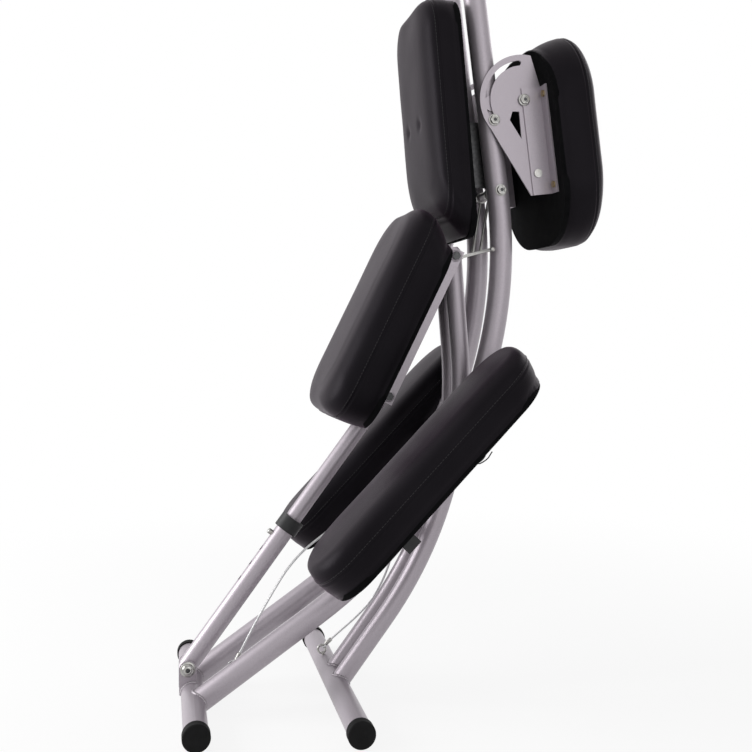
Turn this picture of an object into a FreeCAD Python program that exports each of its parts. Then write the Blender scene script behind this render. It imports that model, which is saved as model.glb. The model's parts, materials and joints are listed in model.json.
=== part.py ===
# Folding massage chair, folded up and standing on its two foot bars.
# +X is the way the sitter faces, +Y is the sitter's left and +Z is up.
# The origin is on the floor under the middle of the folded chair.
# Lengths are in millimetres, headings in degrees from +X towards +Z.
import FreeCAD, Part
import math
import os

V = FreeCAD.Vector
ACROSS_CHAIR = V(0, 1, 0)

# Foot bars and their rubber caps
bar_diameter = 38.0
bar_wall = 2.0
rear_bar_x = -333.8
fold_gap = 239.0
rear_bar_length = 418.0
front_bar_length = 496.0
cap_wall = 2.3
cap_skirt = 13.0
cap_end = 4.0
cap_round = 3.0

# Main tubes, from the rear foot bar up to the face rest sockets
main_diameter = 38.0
main_wall = 2.0
main_spacing = 130.0
main_foot_drop = 3.5
main_foot_heading = 34.4
main_bend_radius = 730.0
main_top_heading = 97.1
main_top_ahead = 462.3
main_top_z = 1238.3

# Leg tubes, from the front foot bar up to the seat pivot
leg_diameter = 32.0
leg_wall = 2.0
leg_spacing = 57.0
leg_foot_heading = 53.0
leg_bend_radius = 674.0
leg_top_heading = 94.5
leg_top_ahead = 200.9
leg_top_z = 761.1
seat_pivot_below_top = 16.0
leg_top_chamfer = 10.0

# Fold pivot, where the leg tubes cross the main tubes
axle_diameter = 10.0
running_clearance = 0.06
loose_clearance = 0.2
bush_wall = 2.0
bush_length = 20.0
sleeve_wall = 2.5

# Distance within which two points count as the same
same_place = 0.01

# Bolts and nuts: head sizes as a share of the shank diameter
hex_flats_share = 1.6
bolt_head_share = 0.65
nut_share = 0.85
seat_bolt_diameter = 8.0
seat_spacer_wall = 5.0

# Seat rails and the telescopic strut under them
rail_below_pivot = 11.0
rail_above_pivot = 20.0
rail_thickness = 5.0
rail_gap = 1.0
rail_flange = 20.0
rail_flange_thickness = 3.0
rail_pitch = 265.0
rail_end = 12.0
seat_heading = 63.7
strut_foot_back = 7.5
strut_foot_rise = 40.5
strut_outer_diameter = 32.0
strut_outer_wall = 1.5
strut_inner_diameter = 28.0
strut_inner_wall = 2.0
strut_outer_length = 290.0
strut_inner_overlap = 130.0
strut_foot_round = 14.0
strut_sleeve_diameter = 18.0
strut_sleeve_gap = 1.5
hole_pitch = 30.3
hole_count = 4
button_from_end = 34.0
button_diameter = 9.0
button_stand_out = 8.0
button_flange = 2.0
collar_diameter = 41.0
collar_length = 24.0
collar_lip = 6.0
ear_thickness = 4.0
ear_gap = 0.8
ear_radius = 14.0

# Padding: board thickness and the drawn-in shape of the cushions
board_thickness = 10.0
board_inset = 7.0
cushion_draw_in = 6.0
cushion_side_share = 0.4
cushion_round_share = 0.24
cushion_squareness = 3.2
cushion_steps = (0.03, 0.1, 0.25, 0.5, 1.0)
cushion_low_share = 0.4
cushion_low_draw_share = 0.3
cushion_corner_share = 0.45
cushion_loft_degree = 3

# Seat pad
seat_pad_length = 382.0
seat_pad_width = 272.0
seat_pad_thickness = 78.0
seat_pad_ahead = 44.0
seat_pad_corner = 62.0
seat_end_undercut = 36.0
seat_foot_share = 0.6
seat_head_share = 0.42
seat_notch_gap = 2.5

# Chest pad
chest_height = 410.0
chest_width = 240.0
chest_thickness = 52.0
chest_corner = 50.0
chest_foot_slant = 62.0
chest_foot_share = 1.0
chest_head_share = 0.3
chest_heading = 95.0
chest_middle_z = 978.0
chest_standoff = 50.0
chest_bracket_thickness = 4.0
chest_bracket_bottom = 863.0
chest_bracket_top = 975.0
chest_bracket_flange = 22.0
chest_tuft_depth = 5.0
chest_tuft_radius = 9.0
chest_tuft_spacing = 74.0

# Tie between the main tubes, and the wire latch that hangs from it
tie_z = 855.0
tie_diameter = 14.0
tie_bolt_diameter = 8.0
latch_wire_diameter = 5.0
latch_eye_length = 8.0
latch_eye_wall = 3.0
latch_leg_spacing = 44.0
latch_drop = 102.0
latch_forward_angle = 9.5
latch_rod_length = 178.0
latch_rod_diameter = 6.0
latch_ball_diameter = 9.0

# Armrest with its slotted sector plates
clamp_z = 971.0
clamp_diameter = 8.0
slot_radius = 63.0
slot_width = 8.6
slot_sweep_angle = 116.0
arm_pivot_heading = 34.2
arm_ear_thickness = 4.0
arm_ear_width = 26.0
sector_thickness = 3.0
sector_rim = 14.0
sector_gap = 0.5
sector_top_heading = 81.0
sector_rim_past_angle = 8.0
sector_tail_step = 3.0
sector_board_gap = 1.0
arm_board_offset = 33.0
arm_channel_top = 20.0
arm_channel_bottom = -161.0
arm_channel_web = 36.0
arm_channel_thickness = 2.5
arm_channel_flange = 24.0
arm_screw_edge = 14.0
arm_rivet_drop = 125.0
arm_rivet_across = 12.0
arm_rivet_diameter = 7.0
arm_pad_length = 368.0
arm_pad_width = 300.0
arm_pad_thickness = 75.0
arm_pad_corner = 110.0
arm_pad_below_pivot = 70.0
arm_foot_share = 1.25
arm_head_share = 0.4
arm_end_undercut = 16.0
window_top = -19.5
window_belly_z = -34.5
window_bottom = -66.0
window_left = -20.0
window_belly = -24.5
window_tip = -3.5
window_right = -8.0

# Knee rests on their cross bar
knee_heading = 46.0
knee_bar_at_heading = 49.0
knee_bar_size = 26.0
knee_bar_wall = 2.0
knee_bar_sink = 2.0
knee_bar_length = 452.0
knee_cap_thickness = 4.0
knee_screw_edge = 26.0
knee_pad_length = 480.0
knee_pad_width = 165.0
knee_pad_thickness = 59.0
knee_pad_corner = 66.0
knee_pad_inner_edge = 100.0
knee_pad_up_slope = 99.0
knee_foot_share = 0.5
knee_head_share = 0.25
knee_end_undercut = 12.0
knee_bracket_up_slope = 172.0
knee_bracket_width = 40.0
knee_bracket_thickness = 5.0
knee_bracket_end = 215.0
knee_knob_from_middle = 190.0
knee_knob_diameter = 22.0
knee_knob_height = 16.0
knee_stud_diameter = 8.0
knee_stud_gap = 1.0

# Face rest sockets in the tops of the main tubes
socket_bore = 25.4
socket_depth = 70.0
socket_lip = 3.0

# Screws that hold the boards
screw_diameter = 5.0
screw_head_diameter = 11.0
screw_head_height = 3.0
screw_depth = 7.0

# Limit cable between the two frames, and the eye bolts at its ends
cable_diameter = 4.0
cord_arc_share = 0.45
eye_bolt_diameter = 6.0
eye_wire = 4.0
eye_radius = 7.0
rear_eye_stand_out = 21.6
front_eye_stand_out = 11.0
rear_eye_run = 80.0
front_eye_y = 80.0
front_eye_heading = 107.0
# Points of the cable: distance ahead of the rear bar, across the chair, and height
cable_points = [
    (71, -25, 74), (87, -25, 104), (107, -24, 141), (131, -22, 181), (156, -19, 219), (186, -16, 250),
    (220, -13, 273), (252, -10, 297), (285, -7, 316), (317, -3, 324), (343, 5, 304), (352, 18, 262),
    (347, 34, 215), (334, 49, 170), (314, 61, 131), (286, 70, 101), (259, 77, 77), (238, 80, 58),
]

# Places that follow from the sizes above
bar_z = bar_diameter / 2 + cap_wall
front_bar_x = rear_bar_x + fold_gap
main_y = main_spacing / 2
leg_y = leg_spacing / 2
main_inner_face = main_y - main_diameter / 2
main_outer_face = main_y + main_diameter / 2
leg_outer_face = leg_y + leg_diameter / 2
SIDES = {"right": -1, "left": 1}

nodes = {}


def along(heading):
    """Unit vector in side view that points along a heading."""
    turn = math.radians(heading)
    return V(math.cos(turn), 0, math.sin(turn))


def across(heading):
    """Unit vector in side view, a quarter turn to the left of a heading."""
    return along(heading + 90)


def at_y(point, y):
    """A side-view point moved to a distance across the chair."""
    return V(point.x, y, point.z)


class BentLine:
    """A straight run, one bend to the left and a straight top, in side view."""

    def __init__(self, start, end, rise, lean, radius):
        self.start = start
        self.end = end
        self.rise = rise
        self.lean = lean
        self.radius = radius
        straight = end - start - (across(rise) - across(lean)) * radius
        self.run = straight.dot(across(lean)) / along(rise).dot(across(lean))
        self.bend_in = start + along(rise) * self.run
        self.centre = self.bend_in + across(rise) * radius
        self.bend_out = self.on_bend(lean)

    def on_bend(self, heading):
        """The point of the bend where the line points along a heading."""
        return self.centre - across(heading) * self.radius

    def on_top(self, z):
        """The point of the straight top at a height."""
        return self.end + along(self.lean) * ((z - self.end.z) / along(self.lean).z)

    def low_edges(self, y):
        """The straight run and the bend as two edges."""
        run = Part.makeLine(at_y(self.start, y), at_y(self.bend_in, y))
        middle = self.on_bend((self.rise + self.lean) / 2)
        bend = Part.Arc(at_y(self.bend_in, y), at_y(middle, y), at_y(self.bend_out, y)).toShape()
        return [run, bend]

    def wire(self, y):
        """The run, the bend and the straight top as one wire."""
        top = Part.makeLine(at_y(self.bend_out, y), at_y(self.end, y))
        return Part.Wire(self.low_edges(y) + [top])


main_line = BentLine(V(rear_bar_x, 0, bar_z - main_foot_drop),
                     V(rear_bar_x + main_top_ahead, 0, main_top_z),
                     main_foot_heading, main_top_heading, main_bend_radius)
leg_line = BentLine(V(front_bar_x, 0, bar_z), V(front_bar_x + leg_top_ahead, 0, leg_top_z),
                    leg_foot_heading, leg_top_heading, leg_bend_radius)


def bend_crossing(first, second):
    """Where the bends of two lines cross, on the side that the sitter faces."""
    gap = second.centre - first.centre
    reach = (first.radius ** 2 - second.radius ** 2 + gap.Length ** 2) / (2 * gap.Length)
    offset = math.sqrt(first.radius ** 2 - reach ** 2)
    direction = gap * (1 / gap.Length)
    sideways = V(-direction.z, 0, direction.x)
    candidates = [first.centre + direction * reach + sideways * (sign * offset) for sign in (-1, 1)]
    return max(candidates, key=lambda point: point.x)


fold_pivot = bend_crossing(main_line, leg_line)
seat_pivot = leg_line.end - along(leg_top_heading) * seat_pivot_below_top
strut_top = seat_pivot - along(seat_heading) * rail_pitch
strut_foot = V(rear_bar_x - strut_foot_back, 0, bar_z + strut_foot_rise)
strut_axis = strut_top - strut_foot
strut_length = strut_axis.Length
strut_heading = math.degrees(math.atan2(strut_axis.z, strut_axis.x))
tie_point = main_line.on_top(tie_z)
clamp_point = main_line.on_top(clamp_z)
arm_pivot = clamp_point + along(arm_pivot_heading) * slot_radius
knee_bar_foot = main_line.on_bend(knee_bar_at_heading)
knee_board_height = main_diameter / 2 - knee_bar_sink + knee_bar_size


# Building blocks

def cylinder(start, end, diameter):
    """A solid round bar between two points."""
    axis = end - start
    return Part.makeCylinder(diameter / 2, axis.Length, start, axis)


def cross_bar(point, y_start, y_end, diameter):
    """A solid round bar across the chair through a side-view point."""
    return cylinder(at_y(point, y_start), at_y(point, y_end), diameter)


def cross_tube(point, y_start, y_end, outer, inner):
    """A hollow round bar across the chair through a side-view point."""
    return cross_bar(point, y_start, y_end, outer).cut(cross_bar(point, y_start, y_end, inner))


def swept_bar(wire, heading, diameter):
    """A solid round bar swept along a wire that starts along a heading."""
    ring = Part.Wire(Part.makeCircle(diameter / 2, wire.OrderedVertexes[0].Point, along(heading)))
    return wire.makePipeShell([ring], True, False)


def plate(points, y_start, y_end):
    """A flat plate with a straight-edged outline in side view."""
    outline = [at_y(point, y_start) for point in points]
    face = Part.Face(Part.makePolygon(outline + outline[:1]))
    return face.extrude(V(0, y_end - y_start, 0))


def strap(start, end, width, y_start, y_end):
    """A flat strap with round ends between two side-view points."""
    axis = (end - start).normalize()
    wide = V(-axis.z, 0, axis.x) * (width / 2)
    body = plate([start + wide, end + wide, end - wide, start - wide], y_start, y_end)
    ends = [cross_bar(point, y_start, y_end, width) for point in (start, end)]
    return body.fuse(ends).removeSplitter()


def mirrored(shape):
    """The same shape on the other side of the chair."""
    return shape.mirror(V(0, 0, 0), ACROSS_CHAIR)


def both_sides(shape):
    """A right-hand shape and its mirror image as one group."""
    return Part.makeCompound([shape, mirrored(shape)])


def hex_bar(point, y_start, y_end, diameter):
    """A hexagonal bar across the chair, as wide as a bolt's head."""
    corner_radius = diameter * hex_flats_share / math.sqrt(3)
    corners = [point + along(60 * step) * corner_radius for step in range(6)]
    return plate(corners, y_start, y_end)


def bolt(point, y_head, y_end, diameter):
    """A hexagon bolt across the chair, with its head outside y_head."""
    outwards = math.copysign(1, y_head - y_end)
    head = hex_bar(point, y_head, y_head + outwards * diameter * bolt_head_share, diameter)
    return head.fuse(cross_bar(point, y_head, y_end, diameter)).removeSplitter()


def nut(point, y_seat, diameter, outwards):
    """A hexagon nut across the chair that seats on a face at y_seat."""
    y_end = y_seat + outwards * diameter * nut_share
    bore = diameter + 2 * running_clearance
    return hex_bar(point, y_seat, y_end, diameter).cut(cross_bar(point, y_seat, y_end, bore))


def rounded_outline(length, width, corner, height):
    """A rectangle with round corners, of lines and quarter arcs, at a height."""
    half_length = length / 2
    half_width = width / 2
    bulge = corner * (1 - math.sqrt(0.5))
    edges = []
    for turn in range(4):
        long_half, short_half = (half_length, half_width) if turn % 2 == 0 else (half_width, half_length)
        quarter = FreeCAD.Rotation(V(0, 0, 1), 90 * turn)
        points = [
            V(long_half, corner - short_half, height),
            V(long_half, short_half - corner, height),
            V(long_half - bulge, short_half - bulge, height),
            V(long_half - corner, short_half, height),
        ]
        low, high, middle, last = [quarter.multVec(point) for point in points]
        edges.append(Part.makeLine(low, high))
        edges.append(Part.Arc(high, middle, last).toShape())
    return Part.Wire(edges)


def board(length, width, corner):
    """A flat board with round corners, resting on the plane z = 0."""
    outline = rounded_outline(length - 2 * board_inset, width - 2 * board_inset, corner - board_inset, 0)
    return Part.Face(outline).extrude(V(0, 0, board_thickness))


def cushion(length, width, thickness, corner, foot_share, head_share, foot_slant=0.0, head_undercut=0.0):
    """A stuffed pad on the plane z = 0: drawn-in sides, round edges and a crown.

    The shares say how round the low-x end and the high-x end are beside the long sides.
    foot_slant draws the top in at the low-x end, head_undercut the base at the high-x end.
    """
    side = thickness * cushion_side_share
    low = (side * cushion_low_share, cushion_draw_in * cushion_low_draw_share)
    levels = [(0.0, cushion_draw_in), low, (side, 0.0)]
    for share in cushion_steps:
        rise = (1 - (1 - share) ** cushion_squareness) ** (1 / cushion_squareness)
        levels.append((side + (thickness - side) * rise, cushion_round_share * width * share))
    rings = []
    for height, inset in levels:
        share = height / thickness
        foot = inset * foot_share + foot_slant * share
        head = inset * head_share + head_undercut * (1 - share) ** 2
        ring_width = width - 2 * inset
        ring_corner = min(corner, ring_width * cushion_corner_share)
        ring = rounded_outline(length - foot - head, ring_width, ring_corner, height)
        ring.translate(V((foot - head) / 2, 0, 0))
        rings.append(ring)
    return Part.makeLoft(rings, True, False, False, cushion_loft_degree)


def placed(shape, origin, length_axis, normal):
    """A shape moved so that its length and its upward side face as given."""
    rotation = FreeCAD.Rotation(length_axis, normal.cross(length_axis), normal, "XZY")
    moved = shape.copy()
    moved.Placement = FreeCAD.Placement(origin, rotation)
    return moved


def board_screw(point, normal):
    """A pan-head screw whose head seats at a point, with its shank along a normal."""
    head = Part.makeCylinder(screw_head_diameter / 2, screw_head_height, point, normal * -1)
    shank = Part.makeCylinder(screw_diameter / 2, screw_depth, point, normal)
    return head.fuse(shank).removeSplitter()


def screw_hole(point, normal, depth):
    """The hole that a board screw passes through, from its head's seat inwards."""
    return Part.makeCylinder(screw_diameter / 2 + loose_clearance, depth, point, normal)


# Foot bars

def foot_bar(x, length):
    """One hollow foot bar between its two caps."""
    middle = V(x, 0, bar_z)
    half = length / 2 - cap_end
    return cross_tube(middle, -half, half, bar_diameter, bar_diameter - 2 * bar_wall)


def foot_caps(x, length):
    """The two rubber cups on the ends of a foot bar."""
    middle = V(x, 0, bar_z)
    y_end = -length / 2
    cup = cross_bar(middle, y_end, y_end + cap_end + cap_skirt, bar_diameter + 2 * cap_wall)
    rim = [edge for edge in cup.Edges if abs(edge.CenterOfMass.y - y_end) < same_place and edge.Closed]
    cup = cup.makeFillet(cap_round, rim)
    return both_sides(cup.cut(cross_bar(middle, y_end + cap_end, 0, bar_diameter)))


def bar_block(x, length):
    """The room that a foot bar takes up, for cutting tube ends to it."""
    return cross_bar(V(x, 0, bar_z), -length, length, bar_diameter)


nodes["rear_foot_bar"] = foot_bar(rear_bar_x, rear_bar_length)
nodes["rear_foot_caps"] = foot_caps(rear_bar_x, rear_bar_length)
nodes["front_foot_caps"] = foot_caps(front_bar_x, front_bar_length)
nodes["front_foot_bar"] = foot_bar(front_bar_x, front_bar_length)


# Main tubes and the fold pivot

def through_hole(point, diameter):
    """A hole right across the chair at a side-view point."""
    return cross_bar(point, -rear_bar_length, rear_bar_length, diameter)


axle_hole = through_hole(fold_pivot, axle_diameter)
tie_hole = through_hole(tie_point, tie_bolt_diameter)
clamp_hole = through_hole(clamp_point, clamp_diameter)
right_bar = swept_bar(main_line.wire(-main_y), main_foot_heading, main_diameter)
left_bar = mirrored(right_bar)
main_bore_diameter = main_diameter - 2 * main_wall
main_low_wire = Part.Wire(main_line.low_edges(-main_y))
main_bore = swept_bar(main_low_wire, main_foot_heading, main_bore_diameter)
rear_bar_room = bar_block(rear_bar_x, rear_bar_length)
main_tube = swept_bar(main_low_wire, main_foot_heading, main_diameter)
main_tube = main_tube.cut([main_bore, rear_bar_room, axle_hole])
nodes["main_tube_right"] = main_tube
nodes["main_tube_left"] = mirrored(main_tube)
upright_foot = at_y(main_line.bend_out, -main_y)
upright_top = at_y(main_line.end, -main_y)
upright_bore = cylinder(upright_foot, upright_top, main_bore_diameter)
main_upright = cylinder(upright_foot, upright_top, main_diameter).cut([upright_bore, tie_hole, clamp_hole])
nodes["main_upright_right"] = main_upright
nodes["main_upright_left"] = mirrored(main_upright)

axle_seat = main_outer_face
nodes["pivot_axle"] = bolt(fold_pivot, -axle_seat, axle_seat + axle_diameter, axle_diameter)
sleeve_bore = axle_diameter + 2 * bush_wall
sleeve_outer = sleeve_bore + 2 * sleeve_wall
nodes["pivot_sleeve"] = cross_tube(fold_pivot, -leg_outer_face, leg_outer_face, sleeve_outer, sleeve_bore)
bush_bore = axle_diameter + 2 * running_clearance
bush = cross_tube(fold_pivot, -leg_outer_face, bush_length - leg_outer_face, sleeve_bore, bush_bore)
nodes["pivot_bushes"] = both_sides(bush)


# Leg tubes

seat_bolt_hole = through_hole(seat_pivot, seat_bolt_diameter)
front_bar_room = bar_block(front_bar_x, front_bar_length)
top_waste = []
for wide in (across(leg_top_heading), across(leg_top_heading) * -1):
    corner = leg_line.end + wide * (leg_diameter / 2)
    beyond = corner + (along(leg_top_heading) + wide) * leg_top_chamfer
    down = corner - along(leg_top_heading) * leg_top_chamfer
    inwards = corner - wide * leg_top_chamfer
    top_waste.append(plate([down, inwards, beyond], -main_y, main_y))
leg_wire = leg_line.wire(-leg_y)
leg_bore = swept_bar(leg_wire, leg_foot_heading, leg_diameter - 2 * leg_wall)
sleeve_room = through_hole(fold_pivot, sleeve_outer)
leg_tube = swept_bar(leg_wire, leg_foot_heading, leg_diameter)
leg_tube = leg_tube.cut([leg_bore, front_bar_room, sleeve_room, seat_bolt_hole] + top_waste)
nodes["leg_tube_right"] = leg_tube
nodes["leg_tube_left"] = mirrored(leg_tube)

spacer_face = leg_y - leg_diameter / 2
spacer_diameter = seat_bolt_diameter + 2 * seat_spacer_wall
nodes["seat_spacer"] = cross_tube(seat_pivot, -spacer_face, spacer_face, spacer_diameter,
                                  seat_bolt_diameter + 2 * loose_clearance)
rail_inner = leg_outer_face + rail_gap
rail_outer = rail_inner + rail_thickness
rail_bolt_seat = rail_outer + loose_clearance
nodes["seat_pivot_bolt"] = bolt(seat_pivot, -rail_bolt_seat, rail_bolt_seat + seat_bolt_diameter,
                                seat_bolt_diameter)
nodes["seat_pivot_nut"] = nut(seat_pivot, rail_bolt_seat, seat_bolt_diameter, 1)


# Limit cable and its eye bolts

def eye_bolt(root, outwards, surface, stand_out, ring_axis):
    """An eye bolt that stands out of a bar, from a point on the bar's axis."""
    eye_middle = root + outwards * (surface + stand_out)
    ring = Part.makeTorus(eye_radius, eye_wire / 2, eye_middle, ring_axis)
    shank = cylinder(root + outwards * surface, eye_middle - outwards * eye_radius, eye_bolt_diameter)
    return shank.fuse(ring).removeSplitter()


rear_eye_root = at_y(main_line.start + along(main_foot_heading) * rear_eye_run, -main_y)
rear_eye = eye_bolt(rear_eye_root, ACROSS_CHAIR, main_diameter / 2 - main_wall / 2,
                    rear_eye_stand_out, along(main_foot_heading))
nodes["rear_cable_eye"] = rear_eye.cut(right_bar)
front_eye = eye_bolt(V(front_bar_x, front_eye_y, bar_z), along(front_eye_heading),
                     bar_diameter / 2 - bar_wall / 2, front_eye_stand_out, ACROSS_CHAIR)
nodes["front_cable_eye"] = front_eye.cut(front_bar_room)


def cord(points, diameter):
    """A round cord along straight runs with a tangent arc at each inner point."""
    edges = []
    last = points[0]
    for before, corner, after in zip(points, points[1:], points[2:]):
        back = before - corner
        onward = after - corner
        setback = cord_arc_share * min(back.Length, onward.Length)
        half_turn = (math.pi - back.getAngle(onward)) / 2
        radius = setback / math.tan(half_turn)
        print("cord arc radius", round(radius, 1))
        arc_start = corner + back.normalize() * setback
        arc_end = corner + onward.normalize() * setback
        middle_way = (back + onward).normalize()
        arc_middle = corner + middle_way * (radius / math.cos(half_turn) - radius)
        edges.append(Part.makeLine(last, arc_start))
        edges.append(Part.Arc(arc_start, arc_middle, arc_end).toShape())
        last = arc_end
    edges.append(Part.makeLine(last, points[-1]))
    wire = Part.Wire(edges)
    ring = Part.Wire(Part.makeCircle(diameter / 2, points[0], points[1] - points[0]))
    body = wire.makePipeShell([ring], True, False)
    section = math.pi * diameter ** 2 / 4
    share = body.Volume / section / wire.Length
    print("cord length", round(wire.Length, 1), "volume share", round(share, 4))
    return body


cable_path = [V(rear_bar_x + ahead, y, z) for ahead, y, z in cable_points]
nodes["limit_cable"] = cord(cable_path, cable_diameter)


# Seat

rail_axis = along(seat_heading)
rail_up = across(seat_heading)
rail_far = strut_top - rail_axis * rail_end
rail_near = seat_pivot + rail_axis * rail_end
rail_hole = through_hole(seat_pivot, seat_bolt_diameter + 2 * running_clearance)
top_bolt_hole = through_hole(strut_top, seat_bolt_diameter)
rail_top = rail_up * rail_above_pivot
rail_bottom = rail_up * -rail_below_pivot
flange_drop = rail_up * (rail_above_pivot - rail_flange_thickness)
seat_screw_places = [0.2, 0.8]
seat_board_head = seat_pad_ahead - seat_end_undercut
seat_board_length = seat_pad_length - seat_end_undercut
seat_board_bottom = seat_pivot + rail_top - rail_axis * (seat_board_length / 2 - seat_board_head)
rail_length = rail_near - rail_far
flange_y = rail_outer + rail_flange / 2
seat_screws = []
for side, sign in SIDES.items():
    web = plate([rail_far + rail_top, rail_near + rail_top, rail_near + rail_bottom,
                 rail_far + rail_bottom], sign * rail_inner, sign * rail_outer)
    flange = plate([rail_far + rail_top, rail_near + rail_top, rail_near + flange_drop,
                    rail_far + flange_drop], sign * rail_outer, sign * (rail_outer + rail_flange))
    rail = web.fuse(flange).removeSplitter().cut([rail_hole, top_bolt_hole])
    for place in seat_screw_places:
        seat = at_y(rail_far + flange_drop + rail_length * place, sign * flange_y)
        rail = rail.cut(screw_hole(seat, rail_up, rail_flange_thickness))
        seat_screws.append(board_screw(seat, rail_up))
    nodes["seat_rail_" + side] = rail
nodes["seat_screws"] = Part.makeCompound(seat_screws)
seat_board = placed(board(seat_board_length, seat_pad_width, seat_pad_corner), seat_board_bottom,
                    rail_axis, rail_up)
sleeve_half = rail_inner - strut_sleeve_gap
notch_half = sleeve_half + seat_notch_gap
notch_bottom = strut_top + rail_top + rail_axis * (strut_sleeve_diameter / 2)
notch_top = notch_bottom + rail_up * board_thickness
notch_end = rail_axis * -seat_pad_length
strut_notch = plate([notch_bottom, notch_top, notch_top + notch_end, notch_bottom + notch_end],
                    -notch_half, notch_half)
nodes["seat_board"] = seat_board.cut(seat_screws + [strut_notch])
seat_pad_bottom = seat_board_bottom + rail_up * board_thickness + rail_axis * (seat_end_undercut / 2)
seat_cushion = cushion(seat_pad_length, seat_pad_width, seat_pad_thickness, seat_pad_corner,
                       seat_foot_share, seat_head_share, head_undercut=seat_end_undercut)
nodes["seat_pad"] = placed(seat_cushion, seat_pad_bottom, rail_axis, rail_up)
nodes["strut_top_bolts"] = both_sides(bolt(strut_top, -rail_outer, -rail_inner, seat_bolt_diameter))


# Telescopic strut

strut_up = along(strut_heading)
strut_side = across(strut_heading)
foot_pin_hole = through_hole(strut_foot, axle_diameter + 2 * running_clearance)


def on_strut(distance):
    """The point of the strut's axis at a distance from its foot pivot."""
    return strut_foot + strut_up * distance


outer_bore = strut_outer_diameter - 2 * strut_outer_wall
collar_start = strut_outer_length + collar_lip - collar_length
button_at = strut_outer_length - button_from_end
outer_tube = cylinder(on_strut(0), on_strut(strut_outer_length), strut_outer_diameter)
foot_end = cross_bar(strut_foot, -strut_outer_diameter / 2, strut_outer_diameter / 2, 2 * strut_foot_round)
below_foot = cylinder(on_strut(-strut_outer_diameter), on_strut(0), strut_outer_diameter)
outer_tube = outer_tube.fuse(foot_end.common(below_foot)).removeSplitter()
outer_tube = outer_tube.cut([cylinder(on_strut(strut_foot_round), on_strut(strut_length), outer_bore),
                             foot_pin_hole])
for step in range(hole_count):
    hole_start = on_strut(button_at - hole_pitch * step)
    hole_end = hole_start + strut_side * strut_outer_diameter
    outer_tube = outer_tube.cut(cylinder(hole_start, hole_end, button_diameter + 2 * loose_clearance))
nodes["strut_outer_tube"] = outer_tube

collar_end = collar_start + collar_length
collar_bore = strut_inner_diameter + 2 * running_clearance
collar = cylinder(on_strut(collar_start), on_strut(collar_end), collar_diameter)
collar = collar.cut([
    cylinder(on_strut(collar_start), on_strut(strut_outer_length), strut_outer_diameter),
    cylinder(on_strut(strut_outer_length), on_strut(collar_end), collar_bore),
])
nodes["strut_collar"] = collar

top_sleeve_bar = cross_bar(strut_top, -sleeve_half, sleeve_half, strut_sleeve_diameter)
inner_start = strut_outer_length - strut_inner_overlap
inner_tube = cylinder(on_strut(inner_start), on_strut(strut_length), strut_inner_diameter)
inner_bore = cylinder(on_strut(inner_start), on_strut(strut_length),
                      strut_inner_diameter - 2 * strut_inner_wall)
button_room = cylinder(on_strut(button_at), on_strut(button_at) + strut_side * strut_inner_diameter,
                       button_diameter + 2 * running_clearance)
nodes["strut_inner_tube"] = inner_tube.cut([inner_bore, top_sleeve_bar, button_room])
sleeve_hole = through_hole(strut_top, seat_bolt_diameter + 2 * loose_clearance)
nodes["strut_top_sleeve"] = top_sleeve_bar.cut(sleeve_hole)

inner_radius = strut_inner_diameter / 2 - strut_inner_wall
flange_radius = button_diameter / 2 + button_flange
button_seat = math.sqrt(inner_radius ** 2 - flange_radius ** 2) - running_clearance
button_tip = strut_outer_diameter / 2 + button_stand_out
button_foot = on_strut(button_at) + strut_side * (button_seat - button_flange)
button_flat = on_strut(button_at) + strut_side * button_seat
button_head = on_strut(button_at) + strut_side * button_tip
button = cylinder(button_foot, button_flat, button_diameter + 2 * button_flange)
button = button.fuse(cylinder(button_flat, button_head, button_diameter)).removeSplitter()
tip_edges = [edge for edge in button.Edges if (edge.CenterOfMass - button_head).Length < same_place]
nodes["height_button"] = button.makeFillet(button_diameter / 4, tip_edges)

ear_inner = strut_outer_diameter / 2 + ear_gap
ear_outer = ear_inner + ear_thickness
ear_half = V(ear_radius, 0, 0)
ear_foot = V(strut_foot.x, 0, bar_z)
ear = plate([strut_foot - ear_half, strut_foot + ear_half, ear_foot + ear_half, ear_foot - ear_half],
            -ear_outer, -ear_inner)
ear = ear.fuse(cross_bar(strut_foot, -ear_outer, -ear_inner, 2 * ear_radius)).removeSplitter()
ear = ear.cut([bar_block(rear_bar_x, rear_bar_length), through_hole(strut_foot, axle_diameter)])
nodes["strut_clevis"] = both_sides(ear)
nodes["foot_bolt"] = bolt(strut_foot, -ear_outer, ear_outer + axle_diameter, axle_diameter)
frame_nuts = [nut(fold_pivot, axle_seat, axle_diameter, 1), nut(strut_foot, ear_outer, axle_diameter, 1)]


# Tie and wire latch between the main tubes

tie = cross_tube(tie_point, -main_y, main_y, tie_diameter, tie_bolt_diameter)
nodes["upright_tie"] = tie.cut([right_bar, left_bar])
tie_bolt = bolt(tie_point, -main_outer_face, -main_inner_face, tie_bolt_diameter)

latch_heading = -90 - latch_forward_angle
latch_rod_point = tie_point + along(latch_heading) * latch_drop
latch_half = latch_leg_spacing / 2
eye_outer = tie_diameter + 2 * latch_eye_wall
eye_bore = tie_diameter + 2 * running_clearance
eyes = [cross_tube(tie_point, sign * latch_half - latch_eye_length / 2,
                   sign * latch_half + latch_eye_length / 2, eye_outer, eye_bore) for sign in (-1, 1)]
leg_top = tie_point + along(latch_heading) * (eye_bore / 2 + latch_eye_wall / 2)
wire_legs = [cylinder(at_y(leg_top, sign * latch_half), at_y(latch_rod_point, sign * latch_half),
                      latch_wire_diameter) for sign in (-1, 1)]
latch_rod = cross_bar(latch_rod_point, -latch_rod_length / 2, latch_rod_length / 2, latch_rod_diameter)
balls = [Part.makeSphere(latch_ball_diameter / 2, at_y(latch_rod_point, sign * latch_rod_length / 2))
         for sign in (-1, 1)]
nodes["fold_latch"] = latch_rod.fuse(eyes + wire_legs + balls).removeSplitter()


# Chest pad on its two brackets

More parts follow.
